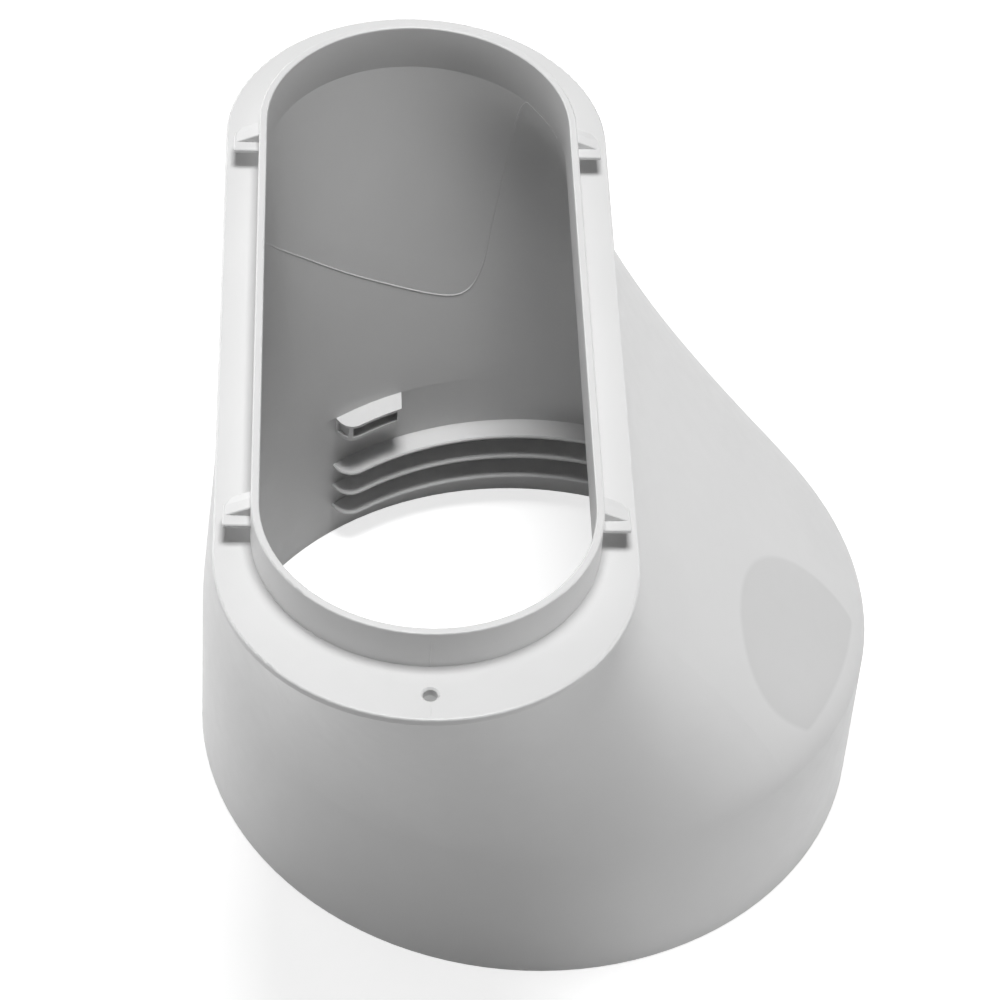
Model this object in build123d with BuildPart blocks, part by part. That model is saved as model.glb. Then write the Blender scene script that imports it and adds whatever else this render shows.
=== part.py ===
"""Exhaust hose adapter: one moulding that leads a flat oblong air outlet into a round hose.

The frame has its origin at the centre of the socket's mouth, +Z up along the hose's axis.
The hose screws in from below, and the oblong collar on top plugs into the appliance.
"""
import os
from math import atan, degrees, pi, radians, sin, sqrt, tan

from build123d import *

# Round hose socket
hose_diameter = 150.0  # corrugated exhaust hose that screws in
hose_clearance = 0.6  # room around the hose, on the radius
socket_wall = 2.4  # wall at the socket's mouth
socket_height = 40.0  # straight part of the socket
socket_draft = 0.5  # degrees, the outside narrows upwards
mouth_rounding = 0.4

# Oblong collar that plugs into the appliance
adapter_height = 138.5  # from the socket's mouth to the collar's rim
collar_inner_radius = 34.0
collar_straight = 119.0
collar_wall = 1.7
collar_height = 9.5
collar_shift_x = -30.1  # collar's centre from the hose's axis
collar_shift_y = -4.6
rim_rounding = 0.4

# Flat flange under the collar
flange_thickness = 2.0
flange_side_margin = 7.6  # flange beyond the collar's sides
flange_end_margin = 13.9  # flange beyond the collar's ends
flange_rounding = 0.5

# Lofted duct between socket and flange
duct_wall = 2.4
duct_side_lip = 1.0  # flange past the duct's widest place
duct_steps = 8  # spans between the duct's sections
duct_top_pull = 0.78  # how long the sides stay upright under the flange
duct_bottom_pull = 0.30  # how long they stay upright over the socket
duct_end_power = 1.5  # how late the two ends lean out
duct_joint_angle = 46.0  # degrees, where a section's side and end arcs meet over the socket

# Grip ribs for the hose's corrugation, two facing groups on a left-hand thread
rib_pitch = 7.05
rib_count = 3
rib_depth = 6.0
rib_thickness = 1.0
rib_span = 77.0  # degrees
rib_middle = 90.0  # degrees, middle of the group behind the axis
rib_first_height = 9.9  # underside of the lowest rib behind the axis
rib_end_rounding = 4.5
rib_crest_bevel = 0.3
rib_root = 0.8  # how far a rib runs into the wall

# Hose stop, a short cored block over the ribs' left end
stop_height = 4.8
stop_top = 40.0
stop_depth = 5.3
stop_start = 128.0  # degrees
stop_right = -30.4  # square end
stop_end_rounding = 3.5
stop_top_plate = 0.7
stop_bottom_plate = 1.0
stop_end_plate = 1.0  # closes the core at the square end
stop_core_depth = 4.4
stop_post = 127.0  # degrees, web that joins the plates near the round end
stop_post_thickness = 0.8

# Lock tabs on the collar's sides
tab_reach = 5.6
tab_length = 7.9
tab_thickness = 1.0
tab_gap = 4.3  # room under a tab for the appliance's panel
tab_rear_y = 57.5  # tab's middle from the collar's centre
tab_front_y = -58.7
tab_rear_corner = 3.0
tab_front_corner = 0.6
tab_edge_bevel = 0.2
tab_root = 1.0  # how far a tab runs into the collar's wall
gusset_length = 5.2
gusset_height = 2.3
gusset_reach = 5.1
gusset_ramp_length = 2.4  # rear part that falls away
gusset_ramp_drop = 0.6

# Screw hole in the flange's front end
screw_hole_diameter = 3.0
screw_sink_diameter = 3.8
screw_sink_angle = 90.0
screw_end_distance = 6.7  # hole's centre from the flange's front edge

# Edges
bevel_share = 0.45  # most of a rib's or tab's thickness that a bevel takes from one side

# Values that follow from the sizes above
socket_radius = hose_diameter / 2 + hose_clearance
mouth_radius = socket_radius + socket_wall
socket_top_radius = mouth_radius - socket_height * tan(radians(socket_draft))
collar_outer_radius = collar_inner_radius + collar_wall
collar_end = collar_straight / 2 + collar_inner_radius
flange_top = adapter_height - collar_height
flange_bottom = flange_top - flange_thickness
flange_radius = collar_outer_radius + flange_side_margin
flange_length = collar_straight + 2 * (collar_outer_radius + flange_end_margin)
duct_rise = flange_bottom - socket_height
duct_top_half_width = flange_radius - duct_side_lip - duct_wall
duct_top_joint = 2 * atan(1 - (collar_end - duct_top_half_width) / (collar_straight / 2))
rib_inner_radius = socket_radius - rib_depth
rib_lead_angle = degrees(atan(rib_pitch / (2 * pi * socket_radius)))
rib_bevel = min(rib_crest_bevel, bevel_share * rib_thickness)
tab_bevel = min(tab_edge_bevel, bevel_share * tab_thickness)
stop_inner_radius = socket_radius - stop_depth


def oval(height, left, right, front, back, joint_angle):
    """Sketch of an oval of four tangent arcs between four sides, at a height."""
    middle_x = (left + right) / 2
    middle_y = (front + back) / 2
    half_width = (right - left) / 2
    half_length = (back - front) / 2
    end_shift = (half_length - half_width) / (1 - tan(joint_angle / 2))
    end_radius = half_length - end_shift
    side_shift = end_shift / tan(joint_angle)
    side_radius = end_radius + end_shift / sin(joint_angle)
    side_turn = degrees(joint_angle)
    with BuildSketch(Plane.XY.offset(height)) as section:
        with BuildLine():
            CenterArc((middle_x - side_shift, middle_y), side_radius, -side_turn, 2 * side_turn)
            CenterArc((middle_x, middle_y + end_shift), end_radius, side_turn, 180 - 2 * side_turn)
            CenterArc((middle_x + side_shift, middle_y), side_radius, 180 - side_turn, 2 * side_turn)
            CenterArc((middle_x, middle_y - end_shift), end_radius, 180 + side_turn, 180 - 2 * side_turn)
        make_face()
    return section.sketch


def duct_section(step, skin):
    """Section of the duct, from the flange at step 0 down to the socket.

    Skin 0 gives the airway and skin 1 the outside, one wall thickness further out.
    """
    fall = step / duct_steps
    blend = fall * fall * (3 - 2 * fall)
    blend_rate = 6 * fall * (1 - fall)
    top_bend = duct_top_pull * fall * (1 - fall) ** 2
    bottom_bend = duct_bottom_pull * fall**2 * (fall - 1)
    height = flange_bottom - duct_rise * (blend + top_bend + bottom_bend)
    top_bend_rate = duct_top_pull * (3 * fall**2 - 4 * fall + 1)
    bottom_bend_rate = duct_bottom_pull * (3 * fall**2 - 2 * fall)
    height_rate = -duct_rise * (blend_rate + top_bend_rate + bottom_bend_rate)
    lean = max(height - socket_height, 0.0) / duct_rise
    wall = duct_wall * (1 - blend) + (socket_top_radius - socket_radius) * blend

    def side(outward):
        top = collar_shift_x + outward * duct_top_half_width
        bottom = outward * socket_radius
        slope = (bottom - top) * blend_rate / height_rate
        return top + (bottom - top) * blend + skin * outward * wall * sqrt(1 + slope**2)

    def end(outward):
        top = collar_shift_y + outward * collar_end
        bottom = outward * socket_radius
        slope = (top - bottom) * duct_end_power * lean ** (duct_end_power - 1) / duct_rise
        return bottom + (top - bottom) * lean**duct_end_power + skin * outward * wall * sqrt(1 + slope**2)

    joint_angle = duct_top_joint * (1 - blend) + radians(duct_joint_angle) * blend
    return oval(height, side(-1), side(1), end(-1), end(1), joint_angle)


def rib_outline(start, end, inner_radius, rounding):
    """Sketch lines of a rib on the socket's wall, from a start angle to an end angle in degrees."""
    with BuildSketch() as outline:
        with BuildLine():
            inner = CenterArc((0, 0), inner_radius, start, end - start)
            outer = CenterArc((0, 0), socket_radius + rib_root, start, end - start)
            Line(inner @ 0, outer @ 0)
            Line(inner @ 1, outer @ 1)
        make_face()
        inner_corners = outline.vertices().sort_by(lambda corner: corner.distance_to(Vertex(0, 0, 0)))[:2]
        fillet(inner_corners, rounding)
    return outline.sketch


# Flange plate with softened edges
with BuildPart() as flange_plate:
    with BuildSketch(Plane.XY.offset(flange_bottom)):
        with Locations((collar_shift_x, collar_shift_y)):
            SlotOverall(flange_length, 2 * flange_radius, rotation=90)
    extrude(amount=flange_thickness)
    fillet(flange_plate.edges().filter_by(Axis.Z, reverse=True), flange_rounding)

# Lock tab that reaches towards +X from the collar's wall: a tongue, and a wedge with a ramp on it
with BuildSketch() as tab_outline:
    with Locations((-tab_root, 0)):
        Rectangle(tab_root + tab_reach, tab_length, align=(Align.MIN, Align.MIN))
    fillet(tab_outline.vertices().group_by(Axis.X)[-1].sort_by(Axis.Y)[-1], tab_rear_corner)
    fillet(tab_outline.vertices().group_by(Axis.X)[-1].sort_by(Axis.Y)[0], tab_front_corner)

with BuildPart() as tab_gusset:
    with BuildSketch(Plane.XZ.offset(-tab_length)):
        with BuildLine():
            Polyline(
                (-tab_root, 0),
                (gusset_reach, 0),
                (gusset_reach, tab_thickness),
                (-tab_root, tab_thickness + gusset_height * (1 + tab_root / gusset_reach)),
                close=True,
            )
        make_face()
    extrude(amount=gusset_length)
    ramp_start = (0, tab_length - gusset_ramp_length, tab_thickness + gusset_height)
    ramp_normal = (gusset_height / gusset_reach, gusset_ramp_drop / gusset_ramp_length, 1)
    split(bisect_by=Plane(ramp_start, z_dir=ramp_normal), keep=Keep.BOTTOM)
    slope_face = tab_gusset.faces().sort_by(Axis.Z)[-1]
    chamfer(slope_face.edges().sort_by(Axis.Y)[0], tab_bevel)
    extrude(tab_outline.sketch, amount=tab_thickness + 2 * gusset_height, mode=Mode.INTERSECT)

with BuildPart() as lock_tab:
    extrude(tab_outline.sketch, amount=tab_thickness)
    tongue_edges = lock_tab.edges().filter_by(Plane.XY).sort_by(Axis.X)[2:]
    chamfer(tongue_edges, tab_bevel)
    add(tab_gusset.part)

mirrored_tab = mirror(lock_tab.part, about=Plane.YZ)

# Grip rib around +X with a bevelled crest
with BuildPart() as grip_rib:
    with BuildSketch():
        add(rib_outline(-rib_span / 2, rib_span / 2, rib_inner_radius, rib_end_rounding))
    extrude(amount=rib_thickness)
    crest_edges = grip_rib.edges().filter_by(Plane.XY).sort_by(SortBy.LENGTH)[:-2]
    chamfer(crest_edges, rib_bevel)

with BuildPart() as hose_adapter:
    # Socket ring, solid for now
    with BuildSketch():
        Circle(mouth_radius)
    extrude(amount=socket_height, taper=socket_draft)
    fillet(hose_adapter.edges().group_by(Axis.Z)[0], mouth_rounding)

    # Duct outside
    loft([duct_section(step, 1) for step in range(duct_steps, -1, -1)])

    # Flange
    add(flange_plate.part)

    # Collar
    with BuildSketch(Plane.XY.offset(flange_top)):
        with Locations((collar_shift_x, collar_shift_y)):
            SlotCenterToCenter(collar_straight, 2 * collar_outer_radius, rotation=90)
    extrude(amount=collar_height)

    # Airway through socket, duct, flange and collar
    with BuildSketch():
        Circle(socket_radius)
    extrude(amount=socket_height, mode=Mode.SUBTRACT)
    loft([duct_section(step, 0) for step in range(duct_steps, -1, -1)], mode=Mode.SUBTRACT)
    with BuildSketch(Plane.XY.offset(flange_bottom)):
        with Locations((collar_shift_x, collar_shift_y)):
            SlotCenterToCenter(collar_straight, 2 * collar_inner_radius, rotation=90)
    extrude(amount=flange_thickness + collar_height, mode=Mode.SUBTRACT)
    fillet(hose_adapter.faces().sort_by(Axis.Z)[-1].edges(), rim_rounding)

    # Grip ribs, one group behind the axis and one in front of it, half a pitch lower
    for facing, drop in ((1, 0), (-1, rib_pitch / 2)):
        for rib in range(rib_count):
            rib_height = rib_first_height - drop + rib * rib_pitch
            rib_plane = Plane.XY.offset(rib_height).rotated((0, -facing * rib_lead_angle, 0))
            with Locations(rib_plane.location):
                add(grip_rib.part, rotation=(0, 0, facing * rib_middle))

    # Hose stop, cored from its inner side, with a post between its plates near the round end
    with BuildSketch(Plane.XY.offset(stop_top - stop_height)):
        add(rib_outline(rib_middle, stop_start, stop_inner_radius, stop_end_rounding))
        split(bisect_by=Plane((stop_right, 0, 0), z_dir=(-1, 0, 0)))
    extrude(amount=stop_height)
    with BuildSketch(Plane.XY.offset(stop_top - stop_height + stop_bottom_plate)):
        Circle(stop_inner_radius + stop_core_depth)
        split(bisect_by=Plane((stop_right - stop_end_plate, 0, 0), z_dir=(-1, 0, 0)))
        split(bisect_by=Plane.XZ, keep=Keep.BOTTOM)
        with PolarLocations(stop_inner_radius + stop_depth / 2, 1, start_angle=stop_post):
            Rectangle(stop_depth, stop_post_thickness, mode=Mode.SUBTRACT)
    extrude(amount=stop_height - stop_bottom_plate - stop_top_plate, mode=Mode.SUBTRACT)

    # Lock tabs on both sides of the collar
    for outward, tab in ((1, lock_tab.part), (-1, mirrored_tab)):
        wall_x = collar_shift_x + outward * collar_outer_radius
        tab_starts = [collar_shift_y + middle - tab_length / 2 for middle in (tab_rear_y, tab_front_y)]
        with Locations(*[(wall_x, start_y, flange_top + tab_gap) for start_y in tab_starts]):
            add(tab)

    # Screw hole with a small countersink
    with Locations((collar_shift_x, collar_shift_y - flange_length / 2 + screw_end_distance, flange_top)):
        CounterSinkHole(
            screw_hole_diameter / 2,
            screw_sink_diameter / 2,
            depth=flange_thickness,
            counter_sink_angle=screw_sink_angle,
        )

hose_adapter.part.label = "hose_adapter"
os.makedirs("parts", exist_ok=True)
export_step(hose_adapter.part, "parts/hose_adapter.step")
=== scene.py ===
from math import cos, radians, sin

import bpy
from mathutils import Matrix, Vector
from mathutils.bvhtree import BVHTree


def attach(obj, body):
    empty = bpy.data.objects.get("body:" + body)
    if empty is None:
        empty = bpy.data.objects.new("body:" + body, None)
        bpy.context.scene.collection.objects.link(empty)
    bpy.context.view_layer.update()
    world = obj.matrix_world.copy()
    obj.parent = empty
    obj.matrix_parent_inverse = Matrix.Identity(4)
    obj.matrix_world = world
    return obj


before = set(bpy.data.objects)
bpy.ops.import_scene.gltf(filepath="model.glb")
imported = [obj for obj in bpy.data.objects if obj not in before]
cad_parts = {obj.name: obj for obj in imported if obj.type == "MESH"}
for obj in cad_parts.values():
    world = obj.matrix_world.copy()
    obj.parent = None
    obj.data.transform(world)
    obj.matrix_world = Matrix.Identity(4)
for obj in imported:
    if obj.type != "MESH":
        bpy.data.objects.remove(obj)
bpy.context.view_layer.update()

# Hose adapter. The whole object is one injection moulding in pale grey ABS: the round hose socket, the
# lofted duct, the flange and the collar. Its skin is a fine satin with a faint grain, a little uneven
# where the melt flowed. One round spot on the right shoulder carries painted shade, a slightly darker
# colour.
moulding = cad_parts["hose_adapter"]
abs_tone = 0.62
noise_low = 0.3
noise_high = 0.7
flow_size = 0.055
flow_detail = 3.0
flow_share = 0.05
mottle_size = 0.004
mottle_detail = 4.0
satin_low = 0.38
satin_high = 0.48
grain_size = 0.0005
grain_detail = 2.0
grain_depth = 0.000012
ripple_size = 0.018
ripple_detail = 1.0
ripple_depth = 0.00004
# Painted shade: a round spot on the right shoulder, whose colour is made darker by the share below
spot_centre = (0.0, -0.029, 0.058)
spot_radius = 0.0197
spot_floor = 0.0475
spot_edge = 0.0005
spot_turn = 0.1
painted_shade_share = 0.11


def add_noise(tree, place, size, detail, name):
    """Noise texture with blobs of a size in metres, at an object's own coordinates."""
    noise = tree.nodes.new("ShaderNodeTexNoise")
    noise.name = name
    noise.inputs["Scale"].default_value = 1.0 / size
    noise.inputs["Detail"].default_value = detail
    tree.links.new(place, noise.inputs["Vector"])
    return noise.outputs["Fac"]


def add_range(tree, value, low, high, low_out, high_out):
    """Map Range node from one span of a value to another."""
    span = tree.nodes.new("ShaderNodeMapRange")
    span.inputs["From Min"].default_value = low
    span.inputs["From Max"].default_value = high
    span.inputs["To Min"].default_value = low_out
    span.inputs["To Max"].default_value = high_out
    tree.links.new(value, span.inputs["Value"])
    return span.outputs["Result"]


def add_product(tree, first, second):
    """Product of two values."""
    product = tree.nodes.new("ShaderNodeMath")
    product.operation = "MULTIPLY"
    tree.links.new(first, product.inputs[0])
    tree.links.new(second, product.inputs[1])
    return product.outputs[0]


satin_abs = bpy.data.materials.new("satin_abs")
satin_abs.use_nodes = True
abs_tree = satin_abs.node_tree
abs_shader = abs_tree.nodes["Principled BSDF"]
abs_place = abs_tree.nodes.new("ShaderNodeTexCoord").outputs["Object"]

# Painted shade, the darker spot: a disc seen along X, cut off above the socket's edge, on faces that look
# to +X
spot_flat = abs_tree.nodes.new("ShaderNodeVectorMath")
spot_flat.operation = "MULTIPLY"
spot_flat.inputs[1].default_value = (0.0, 1.0, 1.0)
abs_tree.links.new(abs_place, spot_flat.inputs[0])
spot_distance = abs_tree.nodes.new("ShaderNodeVectorMath")
spot_distance.operation = "DISTANCE"
spot_distance.inputs[1].default_value = spot_centre
abs_tree.links.new(spot_flat.outputs["Vector"], spot_distance.inputs[0])
spot_reach = spot_distance.outputs["Value"]
spot_disc = add_range(abs_tree, spot_reach, spot_radius - spot_edge, spot_radius + spot_edge, 1.0, 0.0)
abs_axes = abs_tree.nodes.new("ShaderNodeSeparateXYZ")
abs_tree.links.new(abs_place, abs_axes.inputs[0])
abs_level = abs_axes.outputs["Z"]
above_floor = add_range(abs_tree, abs_level, spot_floor - spot_edge, spot_floor + spot_edge, 0.0, 1.0)
abs_facing = abs_tree.nodes.new("ShaderNodeSeparateXYZ")
abs_normal = abs_tree.nodes.new("ShaderNodeNewGeometry").outputs["Normal"]
abs_tree.links.new(abs_normal, abs_facing.inputs[0])
faces_right = add_range(abs_tree, abs_facing.outputs["X"], 0.0, spot_turn, 0.0, 1.0)
spot_cut = add_product(abs_tree, spot_disc, above_floor)
painted_shade_mask = add_product(abs_tree, spot_cut, faces_right)

# Colour: a slow change of tone from the melt's flow, and the painted shade of the spot
flow = add_noise(abs_tree, abs_place, flow_size, flow_detail, "flow")
flow_dark = abs_tone * (1 - flow_share / 2)
flow_light = abs_tone * (1 + flow_share / 2)
flow_tone = add_range(abs_tree, flow, noise_low, noise_high, flow_dark, flow_light)
painted_shade_tone = add_range(abs_tree, painted_shade_mask, 0.0, 1.0, 1.0, 1.0 - painted_shade_share)
abs_tree.links.new(add_product(abs_tree, flow_tone, painted_shade_tone), abs_shader.inputs["Base Color"])

# Sheen: satin, mottled at the scale of a few millimetres
mottle = add_noise(abs_tree, abs_place, mottle_size, mottle_detail, "mottle")
satin = add_range(abs_tree, mottle, noise_low, noise_high, satin_low, satin_high)
abs_tree.links.new(satin, abs_shader.inputs["Roughness"])

# Skin: fine grain on slow ripples
grain = add_noise(abs_tree, abs_place, grain_size, grain_detail, "grain")
ripple = add_noise(abs_tree, abs_place, ripple_size, ripple_detail, "ripple")
ripple_bump = abs_tree.nodes.new("ShaderNodeBump")
ripple_bump.inputs["Distance"].default_value = ripple_depth
abs_tree.links.new(ripple, ripple_bump.inputs["Height"])
grain_bump = abs_tree.nodes.new("ShaderNodeBump")
grain_bump.inputs["Distance"].default_value = grain_depth
abs_tree.links.new(grain, grain_bump.inputs["Height"])
abs_tree.links.new(ripple_bump.outputs["Normal"], grain_bump.inputs["Normal"])
abs_tree.links.new(grain_bump.outputs["Normal"], abs_shader.inputs["Normal"])
moulding.data.materials.clear()
moulding.data.materials.append(satin_abs)

# Witness line. A hair-thin raised line that the joint of a mould insert leaves on the airway's back
# wall: along its lower edge, round one corner and up to the collar, then along the collar's foot.
witness_width = 0.0005
witness_height = 0.00014
witness_fade_in = 0.03
witness_fade_out = 0.09
witness_route = [
    (-0.0640, 0.0480, 0.1080),
    (-0.0540, 0.0642, 0.0878),
    (-0.0440, 0.0701, 0.0780),
    (-0.0317, 0.0745, 0.0701),
    (-0.0205, 0.0767, 0.0653),
    (-0.0146, 0.0778, 0.0662),
    (-0.0114, 0.0789, 0.0740),
    (-0.0104, 0.0799, 0.0846),
    (-0.0079, 0.0800, 0.1051),
    (-0.0052, 0.0780, 0.1275),
    (-0.0022, 0.0745, 0.1260),
    (0.0025, 0.0650, 0.1263),
]
line_order = 3
line_steps = 24
ridge_profile = [(-0.5, -0.4), (-0.3, 0.6), (0.0, 1.0), (0.3, 0.6), (0.5, -0.4)]
skin = BVHTree.FromPolygons(
    [vertex.co for vertex in moulding.data.vertices],
    [polygon.vertices[:] for polygon in moulding.data.polygons],
)


def smooth_line(name, route):
    """Points along a smooth line that is drawn by a route of control points."""
    curve = bpy.data.curves.new(name, "CURVE")
    curve.dimensions = "3D"
    spline = curve.splines.new("NURBS")
    spline.points.add(len(route) - 1)
    for control, place in zip(spline.points, route):
        control.co = (*place, 1.0)
    spline.order_u = line_order
    spline.use_endpoint_u = True
    spline.resolution_u = line_steps
    carrier = bpy.data.objects.new(name, curve)
    line = bpy.data.meshes.new_from_object(carrier)
    points = [vertex.co.copy() for vertex in line.vertices]
    bpy.data.objects.remove(carrier)
    bpy.data.curves.remove(curve)
    bpy.data.meshes.remove(line)
    return points


def lay_ridge(name, route, width, height, fade_in, fade_out):
    """Low round ridge on the moulding's skin along a route, which fades over a length at each end."""
    seats = [skin.find_nearest(point) for point in smooth_line(name, route)]
    places = [seat[0] for seat in seats]
    normals = [seat[1] for seat in seats]
    run = [0.0]
    for start, end in zip(places, places[1:]):
        run.append(run[-1] + (end - start).length)
    corners = []
    for step, place in enumerate(places):
        before = max(step - 1, 0)
        after = min(step + 1, len(places) - 1)
        outward = (normals[before] + normals[step] + normals[after]).normalized()
        sideways = (places[after] - places[before]).cross(outward).normalized()
        rise = height * min(1.0, run[step] / fade_in, (run[-1] - run[step]) / fade_out)
        for across, up in ridge_profile:
            corners.append(place + sideways * width * across + outward * (rise * up))
    count = len(ridge_profile)
    faces = [tuple(range(count - 1, -1, -1)), tuple(range(len(corners) - count, len(corners)))]
    for step in range(len(places) - 1):
        for corner in range(count):
            near = step * count + corner
            beside = step * count + (corner + 1) % count
            faces.append((near, beside, beside + count, near + count))
    mesh = bpy.data.meshes.new(name)
    mesh.from_pydata(corners, [], faces)
    mesh.shade_smooth()
    mesh.materials.append(satin_abs)
    ridge = bpy.data.objects.new(name, mesh)
    bpy.context.scene.collection.objects.link(ridge)
    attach(ridge, "root")


lay_ridge(
    "witness_line", witness_route, witness_width, witness_height, witness_fade_in, witness_fade_out
)

# Parting line. Where the mould's halves meet at the front, a faint vertical line stands on the collar's
# outer wall and shows again on the flange, between the screw hole and the flange's front edge.
parting_width = 0.00028
parting_height = 0.00007
parting_fade = 0.002
parting_x = -0.0301
collar_front = -0.0998
collar_line_levels = (0.128, 0.1325, 0.1365)
flange_top = 0.129
flange_line_places = (-0.1093, -0.1112, -0.1131)
collar_route = [(parting_x, collar_front, level) for level in collar_line_levels]
flange_route = [(parting_x, place, flange_top) for place in flange_line_places]
for line_name, line_route in (
    ("collar_parting_line", collar_route),
    ("flange_parting_line", flange_route),
):
    lay_ridge(line_name, line_route, parting_width, parting_height, parting_fade, parting_fade)

# Floor. A plain white sheet that the adapter stands on. What the eye sees of it is lifted a little
# towards white near the adapter, where the shadow stays on it, and to full white far away.
floor_half = 4.0
floor_tone = 0.5
floor_roughness = 0.9
floor_sheen = 0.1
floor_lift = 0.72
floor_near = 0.5
floor_far = 1.1
floor_corners = [
    (-floor_half, -floor_half, 0.0),
    (floor_half, -floor_half, 0.0),
    (floor_half, floor_half, 0.0),
    (-floor_half, floor_half, 0.0),
]
floor_mesh = bpy.data.meshes.new("floor")
floor_mesh.from_pydata(floor_corners, [], [(0, 1, 2, 3)])
floor = bpy.data.objects.new("floor", floor_mesh)
bpy.context.scene.collection.objects.link(floor)


def seen_by_eye(tree):
    """Value that is 1 for rays from the camera, from gloss and through glass, and 0 for diffuse light."""
    path = tree.nodes.new("ShaderNodeLightPath")
    seen = path.outputs["Is Camera Ray"]
    for name in ("Is Glossy Ray", "Is Transmission Ray"):
        either = tree.nodes.new("ShaderNodeMath")
        either.operation = "MAXIMUM"
        tree.links.new(seen, either.inputs[0])
        tree.links.new(path.outputs[name], either.inputs[1])
        seen = either.outputs[0]
    return seen


floor_paper = bpy.data.materials.new("floor_paper")
floor_paper.use_nodes = True
floor_tree = floor_paper.node_tree
floor_shader = floor_tree.nodes["Principled BSDF"]
floor_shader.inputs["Base Color"].default_value = (floor_tone, floor_tone, floor_tone, 1.0)
floor_shader.inputs["Roughness"].default_value = floor_roughness
floor_shader.inputs["Specular IOR Level"].default_value = floor_sheen
floor_reach = floor_tree.nodes.new("ShaderNodeVectorMath")
floor_reach.operation = "LENGTH"
floor_tree.links.new(floor_tree.nodes.new("ShaderNodeTexCoord").outputs["Object"], floor_reach.inputs[0])
floor_glow = add_range(floor_tree, floor_reach.outputs["Value"], floor_near, floor_far, floor_lift, 1.0)
floor_tree.links.new(floor_glow, floor_shader.inputs["Emission Strength"])
floor_tree.links.new(seen_by_eye(floor_tree), floor_shader.inputs["Emission Color"])
floor_mesh.materials.append(floor_paper)

# Studio light. One small soft box straight above, and larger panels low at the sides, with the least
# light from the front. A white room shows in gloss only and adds no light of its own.
light_aim = Vector((0.0, 0.0, 0.07))
room_light = 0.0
room_white = 1.0


def soft_panel(name, place, width, height, power):
    """Area lamp of a width and a height, in metres, at a place and turned to the object."""
    lamp = bpy.data.lights.new(name, "AREA")
    lamp.shape = "RECTANGLE"
    lamp.size = width
    lamp.size_y = height
    lamp.energy = power
    panel = bpy.data.objects.new(name, lamp)
    panel.location = place
    panel.rotation_mode = "QUATERNION"
    panel.rotation_quaternion = (light_aim - Vector(place)).to_track_quat("-Z", "Y")
    bpy.context.scene.collection.objects.link(panel)


soft_panel("top_box", place=(0.0, 0.0, 1.3), width=0.4, height=0.4, power=15.2)
soft_panel("left_panel", place=(-1.33, 0.0, 0.3), width=0.7, height=0.5, power=6.6)
soft_panel("rear_left_panel", place=(-0.94, 0.94, 0.3), width=0.7, height=0.5, power=4.6)
soft_panel("right_panel", place=(1.33, 0.0, 0.3), width=0.7, height=0.5, power=3.0)
soft_panel("front_right_panel", place=(0.94, -0.94, 0.3), width=0.7, height=0.5, power=4.3)
studio = bpy.data.worlds.new("studio")
bpy.context.scene.world = studio
studio.use_nodes = True
studio_tree = studio.node_tree
studio_level = add_range(studio_tree, seen_by_eye(studio_tree), 0.0, 1.0, room_light, room_white)
studio_tree.links.new(studio_level, studio_tree.nodes["Background"].inputs["Strength"])
studio_tree.nodes["Background"].inputs["Color"].default_value = (1.0, 1.0, 1.0, 1.0)

# Camera. It looks down from in front with a long lens, and is turned a little about its own axis, so
# that the collar leans to the left in the picture.
camera_place = Vector((-0.05928, -0.55345, 0.64320))
camera_azimuth = radians(-5.09)
camera_elevation = radians(45.72)
camera_roll = radians(4.5)
camera_lens = 125.86
camera_sensor = 36.0
backwards = Vector(
    (
        sin(camera_azimuth) * cos(camera_elevation),
        -cos(camera_azimuth) * cos(camera_elevation),
        sin(camera_elevation),
    )
)
level_right = Vector((0.0, 0.0, 1.0)).cross(backwards).normalized()
level_up = backwards.cross(level_right)
right = cos(camera_roll) * level_right + sin(camera_roll) * level_up
up = cos(camera_roll) * level_up - sin(camera_roll) * level_right
turn = Matrix((right, up, backwards)).transposed().to_4x4()
camera_data = bpy.data.cameras.new("camera")
camera_data.sensor_width = camera_sensor
camera_data.lens = camera_lens
camera = bpy.data.objects.new("camera", camera_data)
camera.matrix_world = Matrix.Translation(camera_place) @ turn
bpy.context.scene.collection.objects.link(camera)
bpy.context.scene.camera = camera
bpy.context.scene.view_settings.view_transform = "Standard"
